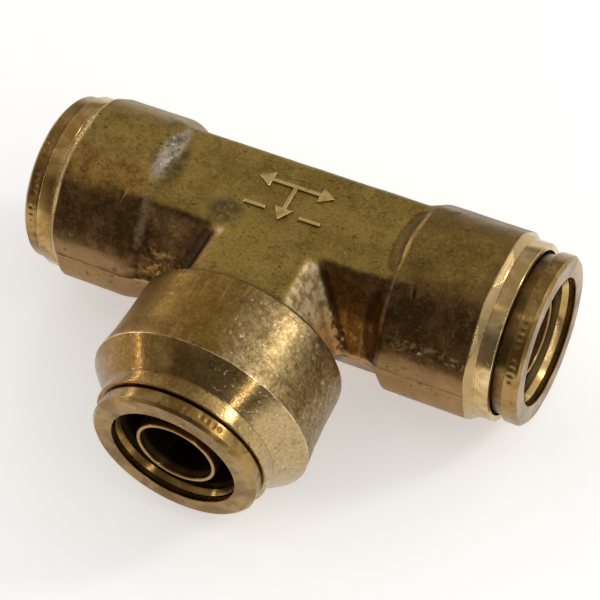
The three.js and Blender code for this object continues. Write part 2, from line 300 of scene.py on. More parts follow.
def surface_net(f, lo, hi, h):
    """Dual contouring of f on a regular grid: crisp creases where two surfaces meet."""
    n = [int(math.ceil((hi[i] - lo[i]) / h)) + 1 for i in range(3)]
    ax = [np.float32(lo[i]) + np.float32(h) * np.arange(n[i], dtype=np.float32) for i in range(3)]
    F = np.empty(n, np.float32)
    for s in range(0, n[0], 24):
        X, Y, Z = np.meshgrid(ax[0][s:s + 24], ax[1], ax[2], indexing="ij")
        F[s:s + 24] = f(X, Y, Z)
    S = F < 0
    nc = [n[0] - 1, n[1] - 1, n[2] - 1]
    total = nc[0] * nc[1] * nc[2]
    acc_id, acc_p, acc_n, quads = [], [], [], []
    for d in range(3):
        sl0 = [slice(None)] * 3
        sl1 = [slice(None)] * 3
        sl0[d], sl1[d] = slice(0, -1), slice(1, None)
        cross = S[tuple(sl0)] != S[tuple(sl1)]
        # keep off the border of the grid
        for e in range(3):
            if e != d:
                k = [slice(None)] * 3
                k[e] = 0
                cross[tuple(k)] = False
                k[e] = -1
                cross[tuple(k)] = False
        idx = np.stack(np.nonzero(cross), -1)
        i0 = idx
        i1 = idx.copy()
        i1[:, d] += 1
        f0 = F[i0[:, 0], i0[:, 1], i0[:, 2]].astype(float)
        f1 = F[i1[:, 0], i1[:, 1], i1[:, 2]].astype(float)
        base = np.stack([ax[c][i0[:, c]] for c in range(3)], -1).astype(float)
        t0, t1 = np.zeros(len(idx)), np.ones(len(idx))
        t = f0 / (f0 - f1)
        for _ in range(3):
            p = base.copy()
            p[:, d] += t * h
            ft = f(p[:, 0], p[:, 1], p[:, 2])
            same = (ft < 0) == (f0 < 0)
            t0, f0 = np.where(same, t, t0), np.where(same, ft, f0)
            t1, f1 = np.where(same, t1, t), np.where(same, f1, ft)
            t = t0 + (t1 - t0) * np.clip(f0 / np.where(np.abs(f0 - f1) < 1e-12, 1e-12, f0 - f1), 0.02, 0.98)
        p = base.copy()
        p[:, d] += t * h
        g = gradient(f, p)
        inside0 = S[i0[:, 0], i0[:, 1], i0[:, 2]]
        b, c = (d + 1) % 3, (d + 2) % 3
        ids = []
        for ob_, oc in ((0, 0), (1, 0), (1, 1), (0, 1)):
            cell = idx.copy()
            cell[:, b] -= 1 - ob_
            cell[:, c] -= 1 - oc
            lin = (cell[:, 0] * nc[1] + cell[:, 1]) * nc[2] + cell[:, 2]
            ids.append(lin)
            acc_id.append(lin)
            acc_p.append(p)
            acc_n.append(g)
        q = np.stack(ids, -1)
        q = np.where(inside0[:, None], q, q[:, ::-1])
        quads.append(q)
    ids = np.concatenate(acc_id)
    P = np.concatenate(acc_p)
    N = np.concatenate(acc_n)
    Q = np.concatenate(quads)
    uniq, inv = np.unique(ids, return_inverse=True)
    m = len(uniq)
    cnt = np.bincount(inv, minlength=m).astype(float)
    mean = np.stack([np.bincount(inv, P[:, k], m) for k in range(3)], -1) / cnt[:, None]
    D = ((P - mean[inv]) * N).sum(1)
    A = np.zeros((m, 3, 3))
    B = np.zeros((m, 3))
    for r in range(3):
        B[:, r] = np.bincount(inv, N[:, r] * D, m)
        for s in range(r, 3):
            A[:, r, s] = A[:, s, r] = np.bincount(inv, N[:, r] * N[:, s], m)
    A += np.eye(3)[None] * 0.04
    dx = np.linalg.solve(A, B[..., None])[..., 0]
    V = mean + dx
    ci = np.stack([uniq // (nc[1] * nc[2]), (uniq // nc[2]) % nc[1], uniq % nc[2]], -1)
    lo_c = np.stack([ax[k][0] + ci[:, k] * h for k in range(3)], -1)
    V = np.clip(V, lo_c - 0.15 * h, lo_c + 1.15 * h)
    lookup = np.searchsorted(uniq, Q)
    return V, lookup


def gradient(f, p, e=0.02):
    g = np.empty_like(p)
    for k in range(3):
        q = p.copy()
        q[:, k] += e
        a = f(q[:, 0], q[:, 1], q[:, 2])
        q[:, k] -= 2 * e
        g[:, k] = a - f(q[:, 0], q[:, 1], q[:, 2])
    L = np.linalg.norm(g, axis=1, keepdims=True)
    return g / np.maximum(L, 1e-9)


def bend(f, p, d=0.45):
    """How sharply the surface bends: positive on ridges, negative in hollows."""
    total = -6 * f(p[:, 0], p[:, 1], p[:, 2])
    for k in range(3):
        for s in (-d, d):
            q = p.copy()
            q[:, k] += s
            total = total + f(q[:, 0], q[:, 1], q[:, 2])
    return total / (d * d)


def forged_body():
    h = 0.2
    V, Q = surface_net(forging, (-30.9, -17.3, -13.4), (30.9, 13.4, 13.4), h)
    me = bpy.data.meshes.new("tee_forging")
    me.from_pydata((V * MM).tolist(), [], Q.tolist())
    me.polygons.foreach_set("use_smooth", np.ones(len(me.polygons), bool))
    me.update()
    # corner normals come from the surface itself, a little inside each face
    nl = len(me.loops)
    vi = np.empty(nl, np.int32)
    me.loops.foreach_get("vertex_index", vi)
    nf = len(me.polygons)
    ls = np.empty(nf, np.int32)
    lt = np.empty(nf, np.int32)
    me.polygons.foreach_get("loop_start", ls)
    me.polygons.foreach_get("loop_total", lt)
    face = np.repeat(np.arange(nf), lt)
    co = V[vi]
    cen = np.stack([np.bincount(face, co[:, k], nf) for k in range(3)], -1) / lt[:, None]
    p = co + 0.3 * (cen[face] - co)
    g = gradient(forging, p, 0.03)
    fn = np.empty(nf * 3, np.float32)
    me.polygons.foreach_get("normal", fn)
    fn = fn.reshape(-1, 3)[face]
    bad = (g * fn).sum(1) < 0.5
    g[bad] = fn[bad]
    me.normals_split_custom_set(g.tolist())
    att = me.attributes.new("bend", "FLOAT", "POINT")
    curve = bend(lambda u, v, w: forging(u, v, w, 0.0), V)
    att.data.foreach_set("value", np.clip(curve, -3, 3).astype(np.float32))
    ob = bpy.data.objects.new("tee_forging", me)
    bpy.context.scene.collection.objects.link(ob)
    ob.matrix_world = Matrix.Translation(ORIGIN)
    return ob


# ---------------------------------------------------------------- materials
class Nodes:
    """A short hand for building a node tree."""

    def __init__(self, name):
        self.mat = bpy.data.materials.new(name)
        self.mat.use_nodes = True
        self.t = self.mat.node_tree
        self.t.nodes.clear()
        self.out = self.t.nodes.new("ShaderNodeOutputMaterial")
        self.bsdf = self.t.nodes.new("ShaderNodeBsdfPrincipled")
        self.t.links.new(self.bsdf.outputs[0], self.out.inputs[0])
        tc = self.t.nodes.new("ShaderNodeTexCoord")
        self.obj, self.normal = tc.outputs["Object"], tc.outputs["Normal"]

    def put(self, socket, value):
        if isinstance(value, bpy.types.NodeSocket):
            self.t.links.new(value, socket)
        else:
            socket.default_value = value

    def math(self, op, a, b=0.0, c=0.0, clamp=False):
        n = self.t.nodes.new("ShaderNodeMath")
        n.operation = op
        n.use_clamp = clamp
        for s, v in zip(n.inputs, (a, b, c)):
            self.put(s, v)
        return n.outputs[0]

    def xyz(self, v):
        n = self.t.nodes.new("ShaderNodeSeparateXYZ")
        self.put(n.inputs[0], v)
        return n.outputs

    def vec(self, x, y, z):
        n = self.t.nodes.new("ShaderNodeCombineXYZ")
        for s, v in zip(n.inputs, (x, y, z)):
            self.put(s, v)
        return n.outputs[0]

    def scale(self, v, s):
        n = self.t.nodes.new("ShaderNodeVectorMath")
        n.operation = "MULTIPLY"
        self.put(n.inputs[0], v)
        self.put(n.inputs[1], s)
        return n.outputs[0]

    def attribute(self, name):
        n = self.t.nodes.new("ShaderNodeAttribute")
        n.attribute_type = "GEOMETRY"
        n.attribute_name = name
        return n.outputs["Fac"]

    def noise(self, scale, detail=4.0, rough=0.55, vector=None, distortion=0.0, dims="3D"):
        n = self.t.nodes.new("ShaderNodeTexNoise")
        n.noise_dimensions = dims
        self.put(n.inputs["Vector"], self.obj if vector is None else vector)
        n.inputs["Scale"].default_value = scale
        n.inputs["Detail"].default_value = detail
        n.inputs["Roughness"].default_value = rough
        n.inputs["Distortion"].default_value = distortion
        return n.outputs["Fac"]

    def voronoi(self, scale, feature="F1", vector=None):
        n = self.t.nodes.new("ShaderNodeTexVoronoi")
        n.feature = feature
        self.put(n.inputs["Vector"], self.obj if vector is None else vector)
        n.inputs["Scale"].default_value = scale
        return n.outputs["Distance"]

    def ramp(self, v, lo, hi, a=0.0, b=1.0, smooth=True):
        n = self.t.nodes.new("ShaderNodeMapRange")
        n.interpolation_type = "SMOOTHSTEP" if smooth else "LINEAR"
        n.clamp = True
        for s, x in zip(n.inputs, (v, lo, hi, a, b)):
            self.put(s, x)
        return n.outputs[0]

    def mix(self, f, a, b):
        n = self.t.nodes.new("ShaderNodeMix")
        n.data_type = "RGBA"
        self.put(n.inputs[0], f)
        self.put(n.inputs[6], a)
        self.put(n.inputs[7], b)
        return n.outputs[2]

    def bump(self, height, strength=0.5, distance=0.0002, normal=None):
        n = self.t.nodes.new("ShaderNodeBump")
        n.inputs["Strength"].default_value = strength
        n.inputs["Distance"].default_value = distance
        self.put(n.inputs["Height"], height)
        if normal is not None:
            self.put(n.inputs["Normal"], normal)
        return n.outputs[0]

    def turned_gloss(self, axis, amount):
        """Gloss drawn out along the profile by turning grooves that run round the axis."""
        t = self.t.nodes.new("ShaderNodeTangent")
        t.direction_type = "RADIAL"
        t.axis = axis
        self.t.links.new(t.outputs[0], self.bsdf.inputs["Tangent"])
        self.put(self.bsdf.inputs["Anisotropic"], amount)
        self.bsdf.inputs["Anisotropic Rotation"].default_value = 0.25

    def done(self, color, rough, metallic=1.0, normal=None):
        self.put(self.bsdf.inputs["Base Color"], color)
        self.put(self.bsdf.inputs["Roughness"], rough)
        self.put(self.bsdf.inputs["Metallic"], metallic)
        if normal is not None:
            self.put(self.bsdf.inputs["Normal"], normal)
        return self.mat


def rgb(r, g, b):
    """An 8-bit screen colour as a linear one."""
    f = lambda v: (v / 255 / 12.92) if v <= 10 else ((v / 255 + 0.055) / 1.055) ** 2.4
    return (f(r), f(g), f(b), 1.0)


def forged_brass():
    """Aged forging skin: olive on top, brown on its steep sides (partly oil and oxide, partly painted shade), bare
    where it is rubbed; painted highlights and painted shade are laid into its colour on ridges, flanks and hollows.
    """
    k = Nodes("forged_brass")
    x, y, z = k.xyz(k.obj)
    nx, ny, nz = k.xyz(k.normal)
    ax = k.math("ABSOLUTE", x)
    blotch = k.noise(240, 5, 0.6)
    fine = k.noise(1500, 4, 0.6)
    skin = k.mix(k.ramp(blotch, 0.38, 0.64), rgb(143, 117, 57), rgb(162, 136, 71))
    pale = k.math("MULTIPLY", k.ramp(k.math("ABSOLUTE", k.math("ADD", x, 0.004)), 0.002, 0.010, 1.0, 0.0), k.ramp(y, -0.003, -0.006))
    skin = k.mix(k.math("MULTIPLY", pale, 0.6), skin, rgb(176, 148, 76))
    skin = k.mix(k.ramp(x, 0.0165, 0.0180, 0.0, 0.5), skin, rgb(112, 84, 42))
    skin = k.mix(k.ramp(k.noise(420, 6, 0.7, distortion=0.8), 0.50, 0.66, 0.0, 0.5), skin, rgb(108, 78, 40))
    # golden bronze where the crown of the left hub rolls over, and along its turned end
    roll = k.math("SUBTRACT", k.math("MULTIPLY", y, -1.0), k.math("MULTIPLY", k.math("SUBTRACT", k.noise(260, 4, 0.6), 0.5), 0.006))
    bronze = k.math("MULTIPLY", k.ramp(roll, 0.0005, 0.0042), k.ramp(x, -0.0188, -0.0178, 1.0, 0.0))
    skin = k.mix(k.math("MULTIPLY", bronze, 0.85), skin, k.mix(k.ramp(k.noise(500, 5, 0.7), 0.4, 0.62), rgb(122, 88, 42), rgb(172, 128, 68)))
    # brown on the steep faces, its edge broken up: partly oxide, partly painted shade
    edge = k.math("MULTIPLY", k.math("SUBTRACT", k.noise(300, 5, 0.65), 0.5), 0.5)
    steep = k.math("ADD", nz, edge)
    # the right hub's sides take the brown and its painted shade sooner than the left one's
    steep = k.math("SUBTRACT", steep, k.ramp(x, 0.010, 0.020, 0.0, 0.17))
    brown_and_shade = k.ramp(steep, 0.66, 0.88, 1.0, 0.0)
    # painted shade: faces turned to the front take the full brown, faces turned back only a quarter of it
    front = k.ramp(ny, -0.2, 0.35, 1.0, 0.25)
    umber = k.mix(k.ramp(k.noise(520, 5, 0.6), 0.4, 0.66), rgb(80, 56, 32), rgb(112, 82, 48))
    # painted shade: the left hub's end is darker still
    umber = k.mix(k.ramp(x, -0.0185, -0.0175, 0.25, 0.0), umber, rgb(66, 42, 22))
    # painted light: faces turned downward get a lighter brown, as if lit from the floor
    low = k.ramp(nz, -0.1, 0.35, 1.0, 0.0)
    umber = k.mix(low, umber, k.mix(k.noise(300, 5), rgb(140, 104, 62), rgb(176, 140, 90)))
    skin = k.mix(k.math("MULTIPLY", brown_and_shade, front), skin, umber)
    shoulder = k.ramp(k.math("ABSOLUTE", k.math("ADD", k.math("ADD", x, 0.0174), k.math("MULTIPLY", k.math("SUBTRACT", k.noise(300, 4, 0.6), 0.5), 0.0022))), 0.0001, 0.0010, 1.0, 0.0)
    shoulder = k.math("MULTIPLY", k.math("MULTIPLY", shoulder, k.ramp(y, -0.0045, -0.0075)), k.ramp(z, 0.001, 0.003))
    skin = k.mix(k.math("MULTIPLY", shoulder, k.ramp(k.noise(900, 5, 0.7), 0.38, 0.6, 0.25, 0.8)), skin, rgb(168, 146, 112))
    # dark flecks and hair-fine scratches
    fleck = k.ramp(k.noise(950, 3, 0.5, vector=k.scale(k.obj, (1, 2.4, 1))), 0.31, 0.36, 1.0, 0.0)
    skin = k.mix(k.math("MULTIPLY", fleck, 0.7), skin, rgb(70, 50, 28))
    hair = k.ramp(k.math("ABSOLUTE", k.math("SUBTRACT", k.noise(620, 2, 0.5, distortion=1.6), 0.5)), 0.0, 0.008, 1.0, 0.0)
    hair = k.math("MULTIPLY", hair, k.ramp(k.noise(260, 3, 0.6, vector=k.scale(k.obj, (1.3, 0.9, 1.1))), 0.52, 0.60))
    grain = k.noise(2400, 6, 0.75)
    # machined end cone
    r = k.math("SQRT", k.math("ADD", k.math("MULTIPLY", y, y), k.math("MULTIPLY", z, z)))
    bare = k.ramp(k.math("ADD", ax, k.math("MULTIPLY", k.math("SUBTRACT", k.noise(500, 3), 0.5), 0.0003)), 0.02950, 0.02956)
    # bare grey metal on the left shoulder ramp, painted pale as a painted highlight
    wob = k.math("MULTIPLY", k.math("SUBTRACT", k.noise(450, 5, 0.65), 0.5), 0.8)
    bow = k.math("MULTIPLY", k.math("MULTIPLY", y, y), 9.0)
    ex = k.math("MULTIPLY", k.math("SUBTRACT", k.math("ADD", x, 0.0178), bow), 1 / 0.00125)
    ey = k.math("MULTIPLY", k.math("SUBTRACT", y, 0.0012), 1 / 0.0050)
    blob = k.math("ADD", k.math("SQRT", k.math("ADD", k.math("MULTIPLY", ex, ex), k.math("MULTIPLY", ey, ey))), wob)
    grey_patch_highlight = k.math("MULTIPLY", k.ramp(blob, 0.6, 1.3, 1.0, 0.0), k.ramp(z, 0.0085, 0.0105))
    # old stain beside it, and another where the die pinched the flat
    def stain(cx, cy, rx, ry):
        dx = k.math("MULTIPLY", k.math("SUBTRACT", x, cx), 1 / rx)
        dy = k.math("MULTIPLY", k.math("SUBTRACT", y, cy), 1 / ry)
        d = k.math("ADD", k.math("SQRT", k.math("ADD", k.math("MULTIPLY", dx, dx), k.math("MULTIPLY", dy, dy))), wob)
        return k.math("MULTIPLY", k.ramp(d, 0.6, 1.3, 1.0, 0.0), k.ramp(z, 0.010, 0.011))
    stains = k.math("MAXIMUM", k.math("MULTIPLY", stain(-0.0163, 0.0, 0.0012, 0.0036), 0.55), k.math("MULTIPLY", stain(-0.0070, -0.0046, 0.0026, 0.0022), 0.6))
    # rubbed ridges and dark hollows: the ridges are lightened partly for wear and partly as a painted edge highlight,
    # the hollows darkened partly for dirt and partly as painted shade
    bent = k.attribute("bend")
    rough_edge = k.math("MULTIPLY", k.math("SUBTRACT", k.noise(900, 5, 0.7), 0.5), 0.9)
    wear_and_edge_highlight = k.ramp(k.math("ADD", bent, rough_edge), 0.42, 0.85)
    wear_and_edge_highlight = k.math("MULTIPLY", wear_and_edge_highlight, k.ramp(bare, 0, 1, 1.0, 0.0))
    dirt_and_shade = k.ramp(k.math("SUBTRACT", k.math("MULTIPLY", rough_edge, 0.5), bent), 0.10, 0.55)
    dirt_and_shade = k.math("MULTIPLY", dirt_and_shade, k.ramp(grey_patch_highlight, 0, 1, 1.0, 0.25))
    wear_and_edge_highlight = k.math("MULTIPLY", k.math("MULTIPLY", wear_and_edge_highlight, k.ramp(grey_patch_highlight, 0, 1, 1.0, 0.0)), k.ramp(k.noise(190, 3, 0.6), 0.36, 0.60, 0.15, 1.0))
    wear_and_edge_highlight = k.math("MULTIPLY", wear_and_edge_highlight, k.ramp(ax, 0.0176, 0.0181, 1.0, 0.0))
    # painted highlight: the neck's right flank, turned to the light, is painted pale
    lit_flank = k.math("MULTIPLY", k.ramp(k.math("ADD", nx, k.math("MULTIPLY", edge, 0.45)), 0.34, 0.66), k.math("MULTIPLY", k.ramp(nz, -0.1, 0.15), k.ramp(y, -0.0175, -0.0035, 1.0, 0.9)))
    lit_flank = k.math("MULTIPLY", lit_flank, k.ramp(ax, 0.0125, 0.0135, 1.0, 0.0))
    lit_flank = k.math("MULTIPLY", lit_flank, k.ramp(y, -0.0048, -0.0062))
    # painted highlight along the rounded left ridge of the neck
    ridge_highlight = k.math("MULTIPLY", k.ramp(nx, -0.10, -0.30, 0.0, 1.0), k.math("MULTIPLY", k.ramp(nz, 0.25, 0.4), k.ramp(y, -0.0066, -0.0080)))
    ridge_highlight = k.math("MULTIPLY", k.math("MULTIPLY", ridge_highlight, k.ramp(ax, 0.0125, 0.0120)), k.ramp(k.noise(700, 5, 0.7), 0.34, 0.56, 0.3, 1.0))
    ridge_highlight = k.math("MULTIPLY", ridge_highlight, k.ramp(ny, -0.30, -0.10))
    dirt_and_shade = k.math("MULTIPLY", dirt_and_shade, k.ramp(k.math("MAXIMUM", ridge_highlight, lit_flank), 0, 1, 1.0, 0.15))
    corner = k.math("MULTIPLY", k.ramp(k.math("ABSOLUTE", k.math("SUBTRACT", z, 0.00575)), 0.0003, 0.0007, 1.0, 0.0), k.math("MULTIPLY", k.ramp(x, 0.018, 0.0195), k.ramp(y, -0.009, -0.0105)))
    corner = k.math("MULTIPLY", corner, k.ramp(k.noise(1500, 4, 0.65), 0.50, 0.60, 0.0, 0.8))
    pocket = k.math("MULTIPLY", k.math("MULTIPLY", k.ramp(y, -0.0088, -0.0105), k.ramp(ax, 0.0172, 0.0160)), k.ramp(z, 0.0065, 0.005))
    pocket = k.math("MULTIPLY", pocket, k.math("ADD", k.ramp(k.noise(800, 4, 0.7), 0.52, 0.64, 0.0, 0.7), k.ramp(x, -0.001, 0.001, 0.0, 0.4)))
    mark = k.math("MULTIPLY", k.ramp(z, 0.01138, 0.01146), k.math("MULTIPLY", k.ramp(ax, 0.0062, 0.0064, 1.0, 0.0), k.ramp(k.math("ABSOLUTE", y), 0.0048, 0.005, 1.0, 0.0)))
    mark = k.math("MULTIPLY", mark, k.ramp(k.noise(900, 4, 0.6), 0.30, 0.48, 0.25, 1.0))
    spot = k.ramp(k.noise(520, 6, 0.72), 0.66, 0.72, 0.0, 0.4)
    turned_col = k.mix(k.noise(700, 4), rgb(160, 130, 84), rgb(198, 172, 124))
    calm = k.ramp(brown_and_shade, 0, 1, 1.0, 0.45)
    col = k.mix(k.math("MULTIPLY", k.ramp(grain, 0.50, 0.68, 0.0, 0.5), calm), skin, rgb(90, 68, 34))
    col = k.mix(k.math("MULTIPLY", k.ramp(grain, 0.50, 0.34, 0.0, 0.38), calm), col, rgb(196, 166, 98))
    line = k.ramp(k.math("ABSOLUTE", k.math("SUBTRACT", k.noise(780, 2, 0.5, distortion=2.2), 0.5)), 0.0, 0.010, 1.0, 0.0)
    line = k.math("MULTIPLY", line, k.ramp(k.noise(330, 3, 0.6, vector=k.scale(k.obj, (0.8, 1.3, 1.0))), 0.51, 0.59))
    col = k.mix(k.math("MULTIPLY", line, 0.8), col, rgb(60, 42, 22))
    col = k.mix(k.math("MULTIPLY", hair, 0.6), col, rgb(196, 168, 108))
    col = k.mix(spot, col, rgb(180, 148, 92))
    col = k.mix(k.math("MULTIPLY", stains, k.ramp(k.noise(900, 5, 0.7), 0.38, 0.58, 0.45, 1.3)), col, rgb(76, 62, 46))
    col = k.mix(grey_patch_highlight, col, k.mix(k.ramp(k.noise(520, 6, 0.74), 0.40, 0.60), rgb(100, 88, 68), rgb(178, 163, 138)))
    # painted highlight: near-white sparkles across the grey patch
    col = k.mix(k.math("MULTIPLY", grey_patch_highlight, k.ramp(k.noise(1900, 4, 0.7), 0.56, 0.64, 0.0, 0.55)), col, rgb(226, 214, 192))
    # paint the neck's right flank pale, a painted highlight
    col = k.mix(k.math("MULTIPLY", lit_flank, 0.85), col, k.mix(k.ramp(k.noise(620, 6, 0.72), 0.40, 0.58), rgb(150, 120, 72), rgb(222, 198, 150)))
    # colours of the painted ridge highlight: pale near its top, browner lower down and where it turns to the left
    ridge_highlight_col = k.mix(k.ramp(y, -0.0074, -0.0092), rgb(220, 196, 152), rgb(158, 116, 62))
    ridge_highlight_col = k.mix(k.ramp(k.math("ADD", nx, k.math("MULTIPLY", edge, 0.6)), -0.42, -0.62), ridge_highlight_col, rgb(182, 136, 80))
    col = k.mix(k.math("MULTIPLY", ridge_highlight, 0.9), col, ridge_highlight_col)
    col = k.mix(corner, col, rgb(164, 140, 104))
    col = k.mix(pocket, col, rgb(216, 158, 80))
    col = k.mix(mark, col, rgb(214, 184, 120))
    # wear and painted edge highlight on the ridges
    col = k.mix(k.math("MULTIPLY", wear_and_edge_highlight, 0.75), col, rgb(206, 170, 108))
    # dirt and painted shade in the hollows
    col = k.mix(k.math("MULTIPLY", dirt_and_shade, 0.8), col, rgb(48, 33, 19))
    col = k.mix(bare, col, turned_col)
    rough = k.ramp(blotch, 0.3, 0.7, 0.38, 0.5)
    rough = k.math("ADD", rough, k.math("MULTIPLY", k.math("SUBTRACT", fine, 0.5), 0.2))
    rubbed = k.math("MAXIMUM", k.math("MAXIMUM", bare, k.math("MULTIPLY", mark, 0.8)), k.math("MULTIPLY", k.math("MAXIMUM", pocket, corner), 0.7))
    rough = k.math("MULTIPLY", rough, k.ramp(rubbed, 0, 1, 1.0, 0.6, smooth=False))
    h = k.math("ADD", k.math("MULTIPLY", k.noise(2600, 5, 0.65), 0.55), k.math("MULTIPLY", k.noise(700, 4, 0.6), 0.8))
    h = k.math("SUBTRACT", h, k.math("MULTIPLY", fleck, 0.3))
    h = k.math("ADD", h, k.math("MULTIPLY", hair, 0.15))
    rings = k.noise(1.0, 3, 0.7, vector=k.vec(k.math("MULTIPLY", ax, 6000), 0.0, 0.0))
    h = k.math("ADD", k.math("MULTIPLY", h, k.ramp(bare, 0, 1, 1.0, 0.3)), k.math("MULTIPLY", rings, k.math("MULTIPLY", bare, 0.5)))
    h = k.math("ADD", h, k.math("MULTIPLY", k.noise(1500, 4, 0.7), k.math("MULTIPLY", grey_patch_highlight, 1.4)))
    n = k.bump(h, 0.42, 0.0001)
    k.turned_gloss("X", k.math("MULTIPLY", bare, 0.75))
    # sand-rough bare metal scatters instead of mirroring; the painted highlights on the flank, ridge and shoulder ramp,
    # and the pockets, are made dull the same way
    dull = k.math("MAXIMUM", k.math("MULTIPLY", lit_flank, 0.62), k.math("MAXIMUM", k.math("MULTIPLY", grey_patch_highlight, 0.4), k.math("MULTIPLY", ridge_highlight, 0.35)))
    dull = k.math("MAXIMUM", dull, k.math("MULTIPLY", pocket, 0.5))
    return k.done(col, k.math("ADD", rough, k.math("MULTIPLY", dull, 0.15)), k.math("SUBTRACT", 1.0, dull), n)


def machined_brass(name, dark, light, rough=(0.2, 0.34), ring=1.0, stain=0.5, gloss=0.75, inside=None, neck=None, lip=None):
    """Turned brass: fine rings round the piece's own axis, light tarnish and nicks."""
    k = Nodes(name)
    x, y, z = k.xyz(k.obj)
    r = k.math("SQRT", k.math("ADD", k.math("MULTIPLY", x, x), k.math("MULTIPLY", y, y)))
    line = k.math("ADD", k.math("MULTIPLY", r, 0.8), z)
    rings = k.noise(1.0, 3, 0.7, vector=k.vec(k.math("MULTIPLY", line, 5200), k.math("MULTIPLY", x, 60), k.math("MULTIPLY", y, 60)))
    tarn = k.noise(240, 6, 0.65, distortion=0.4)
    col = k.mix(k.ramp(tarn, 0.38, 0.7), dark, light)
    col = k.mix(k.ramp(k.noise(620, 5, 0.7), 0.58, 0.70, 0.0, stain), col, tuple(0.42 * c for c in dark[:3]) + (1.0,))
    grain = k.noise(2600, 6, 0.75)
    col = k.mix(k.ramp(grain, 0.52, 0.68, 0.0, 0.35), col, tuple(0.5 * c for c in dark[:3]) + (1.0,))
    rg = k.ramp(tarn, 0.3, 0.7, rough[1], rough[0])
    rg = k.math("ADD", rg, k.math("MULTIPLY", k.math("SUBTRACT", rings, 0.5), 0.12))
    if inside:
        # painted shade: deep in the bore the colour goes black-brown, and the bore is made dull
        deep = k.math("MULTIPLY", k.ramp(r, inside[0], inside[0] + 0.0001, 1.0, 0.0), k.ramp(z, inside[1], inside[1] - 0.0015))
        col = k.mix(k.math("MULTIPLY", deep, 0.97), col, rgb(20, 12, 7))
        rg = k.math("ADD", rg, k.math("MULTIPLY", deep, 0.35))
    if lip:
        col = k.mix(k.ramp(z, lip, lip + 0.00012), col, rgb(172, 136, 84))
    if neck:
        # painted shade: the neck behind the flange is darkened, most of all where it enters the body
        groove = k.math("MULTIPLY", k.ramp(r, neck[0], neck[0] + 0.0001, 1.0, 0.0), k.ramp(z, neck[1] - 0.0019, neck[1] + 0.00005, 1.0, 0.35))
        groove = k.math("MULTIPLY", groove, k.ramp(z, neck[1] + 0.00003, neck[1] + 0.00008, 1.0, 0.0))
        col = k.mix(k.math("MULTIPLY", groove, 0.8), col, rgb(48, 32, 18))
    nick = k.ramp(k.noise(1500, 3, 0.5), 0.27, 0.33, 1.0, 0.0)
    h = k.math("ADD", k.math("MULTIPLY", rings, 0.5 * ring), k.math("MULTIPLY", k.noise(500, 5, 0.6), 0.5))
    h = k.math("SUBTRACT", h, k.math("MULTIPLY", nick, 0.35))
    n = k.bump(h, 0.3, 0.00006)
    k.turned_gloss("Z", gloss)
    return k.done(col, rg, 1.0, n)


